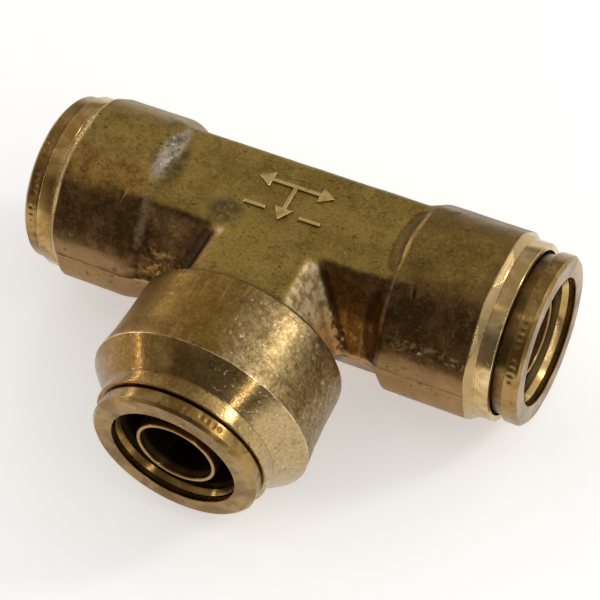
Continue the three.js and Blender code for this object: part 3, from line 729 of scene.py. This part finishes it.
def drum_brass():
    """The branch drum: olive and rubbed smooth on its left, bare, pitted and silvery on its right."""
    k = Nodes("drum_brass")
    x, y, z = k.xyz(k.obj)
    wob = k.math("MULTIPLY", k.math("SUBTRACT", k.noise(220, 5, 0.65), 0.5), 0.009)
    side = k.ramp(k.math("ADD", x, wob), 0.0008, 0.0066)
    turned_end = k.ramp(z, 0.0272, 0.0274)
    blotch = k.noise(300, 5, 0.62, distortion=0.3)
    streak = k.noise(1.0, 4, 0.6, vector=k.vec(k.math("MULTIPLY", x, 900), k.math("MULTIPLY", y, 900), k.math("MULTIPLY", z, 120)))
    olive = k.mix(k.ramp(blotch, 0.36, 0.68), rgb(128, 94, 36), rgb(154, 118, 52))
    olive = k.mix(k.ramp(streak, 0.55, 0.7, 0.0, 0.5), olive, rgb(186, 156, 102))
    silver = k.mix(k.ramp(k.noise(900, 5, 0.7), 0.36, 0.64), rgb(120, 97, 58), rgb(166, 142, 98))
    grain = k.noise(2200, 6, 0.75)
    col = k.mix(side, olive, silver)
    cone = k.mix(k.ramp(k.math("ADD", k.noise(200, 5, 0.6), k.ramp(x, -0.004, 0.008, -0.12, 0.12)), 0.36, 0.66), rgb(138, 102, 52), rgb(178, 146, 92))
    cone = k.mix(k.ramp(k.math("ADD", x, k.math("MULTIPLY", wob, 0.5)), 0.0082, 0.0118), cone, rgb(184, 159, 114))
    col = k.mix(turned_end, col, cone)
    stain = k.ramp(k.noise(560, 6, 0.75), 0.55, 0.66, 0.0, 0.55)
    col = k.mix(stain, col, rgb(106, 76, 40))
    col = k.mix(k.ramp(grain, 0.50, 0.66, 0.0, 0.5), col, rgb(100, 78, 46))
    col = k.mix(k.math("MULTIPLY", k.ramp(grain, 0.50, 0.34, 0.0, 0.4), k.ramp(side, 0, 1, 0.45, 1.0)), col, rgb(216, 192, 140))
    pit = k.ramp(k.voronoi(750, vector=k.obj), 0.10, 0.22, 1.0, 0.0)
    pit = k.math("MULTIPLY", pit, k.ramp(k.noise(380, 4, 0.6), 0.50, 0.60))
    # painted glints: near-white flecks, strongest on the drum's right side
    fleck = k.math("MULTIPLY", k.ramp(k.noise(1500, 4, 0.6, distortion=0.6), 0.62, 0.68), k.ramp(side, 0, 1, 0.2, 1.0))
    col = k.mix(k.math("MULTIPLY", fleck, 0.6), col, rgb(236, 220, 184))
    col = k.mix(k.math("MULTIPLY", pit, 0.5), col, rgb(84, 62, 36))
    # painted highlight along the crest of the turned end
    crest = k.ramp(k.math("ABSOLUTE", k.math("SUBTRACT", z, 0.0273)), 0.00003, 0.00012, 1.0, 0.0)
    crest = k.math("MULTIPLY", crest, k.ramp(k.noise(500, 4), 0.35, 0.6, 0.1, 0.8))
    col = k.mix(crest, col, rgb(226, 204, 160))
    # painted shade: black-brown deep in the mouth bore
    r = k.math("SQRT", k.math("ADD", k.math("MULTIPLY", x, x), k.math("MULTIPLY", y, y)))
    bore = k.ramp(r, 0.0113, 0.0114, 1.0, 0.0)
    bore = k.math("MULTIPLY", bore, k.ramp(z, 0.0326, 0.0320))
    col = k.mix(k.math("MULTIPLY", bore, 0.93), col, rgb(30, 19, 10))
    rings = k.noise(1.0, 3, 0.7, vector=k.vec(k.math("MULTIPLY", z, 5200), k.math("MULTIPLY", x, 60), k.math("MULTIPLY", y, 60)))
    rough = k.ramp(blotch, 0.3, 0.7, 0.44, 0.32)
    rough = k.math("MULTIPLY", rough, k.ramp(turned_end, 0, 1, 1.0, 0.6))
    h = k.math("ADD", k.math("MULTIPLY", k.noise(1900, 5, 0.65), 0.55), k.math("MULTIPLY", k.noise(560, 5, 0.6), 0.8))
    h = k.math("MULTIPLY", h, k.ramp(turned_end, 0, 1, 1.0, 0.35))
    h = k.math("SUBTRACT", h, k.math("MULTIPLY", pit, 0.9))
    h = k.math("ADD", h, k.math("MULTIPLY", fleck, 0.5))
    h = k.math("ADD", h, k.math("MULTIPLY", rings, k.ramp(turned_end, 0, 1, 0.08, 0.45)))
    n = k.bump(h, 0.4, 0.00009)
    k.turned_gloss("Z", k.ramp(turned_end, 0, 1, 0.25, 0.8))
    return k.done(col, rough, 1.0, n)


def steel():
    k = Nodes("stainless")
    t = k.noise(600, 4, 0.6)
    col = k.mix(t, rgb(176, 174, 168), rgb(208, 206, 200))
    return k.done(col, k.ramp(t, 0.3, 0.7, 0.22, 0.36), 1.0, k.bump(k.noise(2500, 4), 0.25, 0.00004))


def polymer(name, a, b, rough, grain):
    k = Nodes(name)
    t = k.noise(380, 5, 0.6)
    col = k.mix(t, a, b)
    return k.done(col, k.ramp(t, 0.3, 0.7, rough[0], rough[1]), 0.0, k.bump(k.noise(grain, 5, 0.6), 0.35, 0.00005))


M_FORGED = forged_brass()
M_DRUM = drum_brass()
# painted light: the right collar is painted lighter, as the lit one, the left one darker
COLLAR_LIT_AND_SHADED_TONE = {"right": (rgb(184, 150, 94), rgb(226, 200, 150)), "left": (rgb(156, 120, 64), rgb(206, 172, 112))}
M_COLLAR = {p_: machined_brass(f"turned_collar_{p_}", *COLLAR_LIT_AND_SHADED_TONE[p_], (0.15, 0.28), 0.9, 0.6, inside=(0.0113, 0.0326)) for p_ in COLLAR_LIT_AND_SHADED_TONE}
M_BUTTON = {p_: machined_brass(f"button_brass_{p_}", rgb(124, 94, 48), rgb(168, 136, 84), (0.2, 0.36), 0.7, 0.75, 0.6, neck=(0.01105, FRONT[p_] * MM - 0.0021)) for p_ in FRONT}
M_TURNED = machined_brass("turned_brass", rgb(170, 138, 86), rgb(206, 178, 126), (0.18, 0.3), 0.8)
M_LINER = machined_brass("liner_brass", rgb(120, 90, 48), rgb(150, 118, 70), (0.22, 0.34), 0.8, inside=(0.00520, 0.0340), lip=0.03405)
# painted light: the right collet is painted lighter, as if lit, the left and branch ones darker, as if shaded
COLLET_LIT_AND_SHADED_TONE = {"right": (rgb(184, 152, 92), rgb(216, 188, 132)), "left": (rgb(128, 98, 52), rgb(164, 132, 78)), "branch": (rgb(128, 98, 52), rgb(164, 132, 78))}
M_COLLET = {p_: machined_brass(f"collet_brass_{p_}", *COLLET_LIT_AND_SHADED_TONE[p_], (0.18, 0.3), 0.8, 0.3, inside=(0.00835, FRONT[p_] * MM - 0.0016)) for p_ in FRONT}
M_STEEL = steel()
M_ACETAL = polymer("acetal", rgb(40, 39, 36), rgb(54, 52, 48), (0.45, 0.6), 2200)
M_NITRILE = polymer("nitrile", rgb(20, 20, 20), rgb(32, 31, 30), (0.55, 0.75), 1600)


def dress(ob, mat, body, node):
    ob.data.materials.clear()
    ob.data.materials.append(mat)
    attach(ob, body)
    if node:
        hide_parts(node)
    return ob


# ---------------------------------------------------------------- body
forging_ob = dress(forged_body(), M_FORGED, "body", "tee_body")


def collar(port):
    """The turned collar at the end of a run port, with its end face and mouth bore."""
    return turned(f"{port}_collar", port, [
        (12.02, 30.42, 0), (11.93, 30.56, 0.03), (11.93, 30.66, 0.03), (12.0, 30.74, 0.04), (12.0, 32.65, 0.2),
        (11.15, 32.65, 0.12), (11.15, 29.3, 0), (10.9, 29.2, 0), (10.9, 28.8, 0), (11.6, 28.8, 0), (11.6, 30.42, 0),
    ], segs=256, steps=5)


for port in ("left", "right"):
    dress(collar(port), M_COLLAR[port], "body", None)

drum = turned("branch_drum", "branch", [
    (11.2, 13.7, 0), (13.72, 15.35, 0), (14.33, 15.95, 0.25), (14.42, 16.9, 0.3), (14.5, 20.5, 2.0), (14.75, 24.2, 2.0), (15.17, 27.3, 0.1),
    (12.02, 30.47, 0.05), (11.94, 30.58, 0.03), (11.94, 30.68, 0.03), (12.0, 30.76, 0.04), (12.0, 32.65, 0.2),
    (11.15, 32.65, 0.12), (11.15, 29.3, 0), (10.9, 29.2, 0), (10.9, 17.4, 0), (8.2, 17.4, 0), (8.2, 15.4, 0), (6.4, 15.4, 0), (6.4, 13.7, 0),
], segs=320, steps=5, longest=1.2)
dress(drum, M_DRUM, "body", None)


# raised flow mark on the top flat: a plain tee of arrows
def flow_mark():
    me = bpy.data.meshes.new("flow_mark")
    bm = bmesh.new()
    w = 0.275
    run = [(-3.4, 2.3 - w), (3.4, 2.3 - w), (3.4, 1.0), (5.4, 2.3), (3.4, 3.6), (3.4, 2.3 + w),
           (-3.4, 2.3 + w), (-3.4, 3.6), (-5.4, 2.3), (-3.4, 1.0)]
    stem = [(-w, 2.2), (-w, -1.5), (-1.3, -1.5), (0, -3.5), (1.3, -1.5), (w, -1.5), (w, 2.2)]
    bars = [[(s_ * 5.4, -2.2 - w), (s_ * 2.4, -2.2 - w), (s_ * 2.4, -2.2 + w), (s_ * 5.4, -2.2 + w)] for s_ in (-1, 1)]
    for poly in [run, stem] + bars:
        vs = [bm.verts.new((x * MM, y * MM, 10.95 * MM)) for x, y in poly]
        f = bm.faces.new(vs)
        ext = bmesh.ops.extrude_face_region(bm, geom=[f])
        top = [v for v in ext["geom"] if isinstance(v, bmesh.types.BMVert)]
        bmesh.ops.translate(bm, verts=top, vec=(0, 0, 0.55 * MM))
    bmesh.ops.recalc_face_normals(bm, faces=bm.faces)
    bm.to_mesh(me)
    bm.free()
    ob = bpy.data.objects.new("flow_mark", me)
    bpy.context.scene.collection.objects.link(ob)
    ob.matrix_world = Matrix.Translation(ORIGIN)
    b = ob.modifiers.new("soft", "BEVEL")
    b.width = 0.09 * MM
    b.segments = 3
    b.limit_method = "ANGLE"
    finish_mesh(me, 30)
    return ob


dress(flow_mark(), M_FORGED, "body", None)


# ---------------------------------------------------------------- moving pieces
def release_button(port):
    f = FRONT[port]
    # a generic row of punched dots round the flange, in groups of four
    lo, hi = {"branch": (52, 98), "right": (70, 150), "left": (14, 100)}[port]
    dots = []
    t = lo
    while t < hi:
        dots += [math.radians(t + 4.6 * i) for i in range(4)]
        t += 4.6 * 4 + 6.0

    def shape(T, R, A):
        s = f - A
        side = (R > 11.4) & (s > 0.45) & (s < 2.05)
        depth = np.zeros_like(R)
        for t0 in dots:
            d = ((T - t0 + math.pi) % (2 * math.pi) - math.pi) * 11.45
            depth = np.maximum(depth, np.exp(-((d * d + (s - 1.25) ** 2) / 0.085) ** 1.5))
        return R - 0.11 * depth * side, A

    ob = turned(f"{port}_button", port, [
        (8.6, f, 0.12), (11.02, f, 0.06), (11.45, f - 0.4, 0.08), (11.45, f - 2.1, 0.14), (10.76, f - 2.1, 0.05), (10.76, f - 4.4, 0.15),
        (8.75, f - 4.4, 0.1), (8.75, f - 0.3, 0),
    ], segs=480, longest=0.22, shape=shape, steps=5)
    return dress(ob, M_BUTTON[port], f"{port}_button", f"{port}_release_button")


def collet(port):
    f = FRONT[port]
    ob = turned(f"{port}_collet_sleeve", port, [
        (8.12, f - 1.75, 0.25), (8.5, f - 0.9, 0.07), (8.6, f - 1.0, 0.05), (8.6, f - 4.7, 0), (9.1, f - 4.7, 0.08), (9.1, f - 9.25, 0.1),
        (9.85, f - 9.55, 0.1), (9.85, f - 10.2, 0.12), (8.9, f - 11.35, 0.08), (8.12, f - 11.35, 0.1),
    ], segs=144, steps=4)
    cut_boxes(ob, [((0, 0, f - 6.2 - 3.1), (26, 0.9, 6.2), k * math.pi / 3 + math.pi / 12) for k in range(3)])
    return dress(ob, M_COLLET[port], f"{port}_button", f"{port}_collet")


def inner_parts(port):
    dress(turned(f"{port}_retainer", port, [
        (10.1, 23.4, 0.1), (10.75, 23.4, 0.15), (10.75, 29.0, 0.2), (9.38, 29.0, 0.25), (9.38, 27.25, 0.1), (10.1, 27.25, 0),
    ], segs=144), M_TURNED, "body", f"{port}_retainer_sleeve")
    grab = turned(f"{port}_gripping_ring", port, [
        (7.75, 21.55, 0.03), (9.35, 22.72, 0.2), (10.7, 22.72, 0.08), (10.7, 23.16, 0.08), (9.2, 23.16, 0.2), (7.75, 22.1, 0.03),
    ], segs=144)
    cut_boxes(grab, [((0, 0, 22.0), (18.9, 0.8, 4), k * math.pi / 6 + math.pi / 24) for k in range(6)])
    dress(grab, M_STEEL, "body", f"{port}_grab_ring")
    dress(turned(f"{port}_spacer", port, [
        (8.3, 20.45, 0.1), (10.7, 20.45, 0.15), (10.7, 22.5, 0.1), (9.6, 22.5, 0.1), (9.6, 21.3, 0.05), (8.3, 21.05, 0.08),
    ], segs=144), M_ACETAL, "body", f"{port}_spacer_ring")
    c = 17.4 + 0.15 + 1.31
    ring = [(9.38 + 1.31 * math.cos(t), c + 1.31 * math.sin(t), 0) for t in np.arange(32) * 2 * math.pi / 32]
    dress(turned(f"{port}_seal", port, ring, segs=144, angle=60), M_NITRILE, "body", f"{port}_o_ring")
    dress(turned(f"{port}_liner", port, [
        (5.0, 9.85, 0.1), (5.55, 9.85, 0.1), (5.55, 15.6, 0), (7.95, 15.6, 0.15), (7.95, 16.4, 0.15), (5.55, 16.4, 0.1),
        (5.55, 34.2, 0.26), (5.0, 34.2, 0.26),
    ], segs=192, longest=2.5, steps=6), M_LINER, "body", f"{port}_tube_support")


for port in ("left", "right", "branch"):
    release_button(port)
    collet(port)
    inner_parts(port)

# ---------------------------------------------------------------- stage
floor_me = bpy.data.meshes.new("floor")
bm = bmesh.new()
bmesh.ops.create_grid(bm, x_segments=2, y_segments=2, size=2.0)
bm.to_mesh(floor_me)
bm.free()
floor = bpy.data.objects.new("floor", floor_me)
bpy.context.scene.collection.objects.link(floor)
fm = bpy.data.materials.new("floor")
fm.use_nodes = True
fb = fm.node_tree.nodes["Principled BSDF"]
fb.inputs["Base Color"].default_value = (0.86, 0.86, 0.85, 1)
fb.inputs["Roughness"].default_value = 0.85
fb.inputs["Emission Color"].default_value = (1.0, 0.99, 0.975, 1)
fb.inputs["Emission Strength"].default_value = 0.42
floor_me.materials.append(fm)

world = bpy.data.worlds.new("world")
bpy.context.scene.world = world
world.use_nodes = True
wt = world.node_tree
bg = wt.nodes["Background"]


def world_light():
    """A soft studio: bright overhead and to the right rear, falling off to a dim front."""
    tc = wt.nodes.new("ShaderNodeTexCoord").outputs["Generated"]

    def math_(op, a, b=0.0):
        n = wt.nodes.new("ShaderNodeMath")
        n.operation = op
        for s_, v_ in zip(n.inputs, (a, b)):
            if isinstance(v_, bpy.types.NodeSocket):
                wt.links.new(v_, s_)
            else:
                s_.default_value = v_
        return n.outputs[0]

    def lobe(direction, lo, hi, amount):
        d = Vector(direction).normalized()
        n = wt.nodes.new("ShaderNodeVectorMath")
        n.operation = "DOT_PRODUCT"
        wt.links.new(tc, n.inputs[0])
        n.inputs[1].default_value = d
        m_ = wt.nodes.new("ShaderNodeMapRange")
        m_.interpolation_type = "SMOOTHSTEP"
        wt.links.new(n.outputs["Value"], m_.inputs[0])
        m_.inputs[1].default_value = lo
        m_.inputs[2].default_value = hi
        m_.inputs[3].default_value = 0.0
        m_.inputs[4].default_value = amount
        return m_.outputs[0]

    side = lobe((0.82, 0.5, 0.22), 0.45, 0.95, 0.85)
    total = math_("ADD", lobe((-0.25, 0.3, 0.92), 0.3, 0.8, 0.34), side)
    total = math_("ADD", total, lobe((-0.9, 0.4, 0.05), 0.4, 0.95, 0.28))
    total = math_("ADD", total, lobe((-0.68, -0.72, 0.12), 0.9, 0.99, 0.38))
    total = math_("ADD", total, 0.12)
    wt.links.new(total, bg.inputs[1])
    tint = wt.nodes.new("ShaderNodeMix")
    tint.data_type = "RGBA"
    wt.links.new(side, tint.inputs[0])
    tint.inputs[6].default_value = (1.0, 0.97, 0.92, 1)
    tint.inputs[7].default_value = (0.97, 1.0, 1.03, 1)
    wt.links.new(tint.outputs[2], bg.inputs[0])


world_light()
bpy.context.scene.view_settings.view_transform = "Standard"


def area(name, at, size, power, color=(1, 1, 1), along=(0, 0, 1)):
    """A soft box facing the tee; its long side runs along the given direction."""
    li = bpy.data.lights.new(name, "AREA")
    li.shape = "RECTANGLE"
    li.size, li.size_y = size
    li.energy = power
    li.color = color
    ob = bpy.data.objects.new(name, li)
    bpy.context.scene.collection.objects.link(ob)
    z = Vector(at).normalized()
    x = Vector(along).cross(z).normalized()
    y = z.cross(x)
    m = Matrix.Identity(4)
    at = ORIGIN + Vector(at)
    for i in range(3):
        m[i][0], m[i][1], m[i][2], m[i][3] = x[i], y[i], z[i], at[i]
    ob.matrix_world = m
    return ob


area("key", (0.42, 0.26, 0.3), (0.09, 0.12), 0.6, (1.0, 0.985, 0.96))
area("strip_right", (0.32, -0.26, 0.31), (0.018, 0.5), 0.34, (1.0, 0.98, 0.95), (-0.15, -0.85, -0.56))
area("strip_left", (-0.46, 0.02, 0.1), (0.02, 0.5), 0.3, (1.0, 0.98, 0.95), (0, 1, 0.15))

# small lamps, each drawing one narrow streak across the turned pieces
for name, at, power in (("front", (0.23, -0.425, 0.12), 0.04), ("left", (-0.41, -0.28, 0.06), 0.04), ("top", (-0.115, -0.125, 0.47), 0.03), ("high", (0.305, -0.005, 0.4), 0.03)):
    area("spark_" + name, at, (0.026, 0.026), power, (1.0, 0.98, 0.95))

# camera at the photograph's viewing angle
cam = bpy.data.cameras.new("camera")
cam.sensor_width = 36.0
cam.lens = 138.251
cam.clip_start = 0.01
cam.clip_end = 20
cam_ob = bpy.data.objects.new("camera", cam)
bpy.context.scene.collection.objects.link(cam_ob)
right = Vector((0.895845, 0.438694, -0.070768))
up = Vector((-0.314456, 0.73838, 0.596584))
back = Vector((0.313972, -0.512194, 0.799424))
pos = ORIGIN + Vector((98.092, -160.271, 239.969)) * MM
m = Matrix.Identity(4)
for i in range(3):
    m[i][0], m[i][1], m[i][2], m[i][3] = right[i], up[i], back[i], pos[i]
cam_ob.matrix_world = m
bpy.context.scene.camera = cam_ob
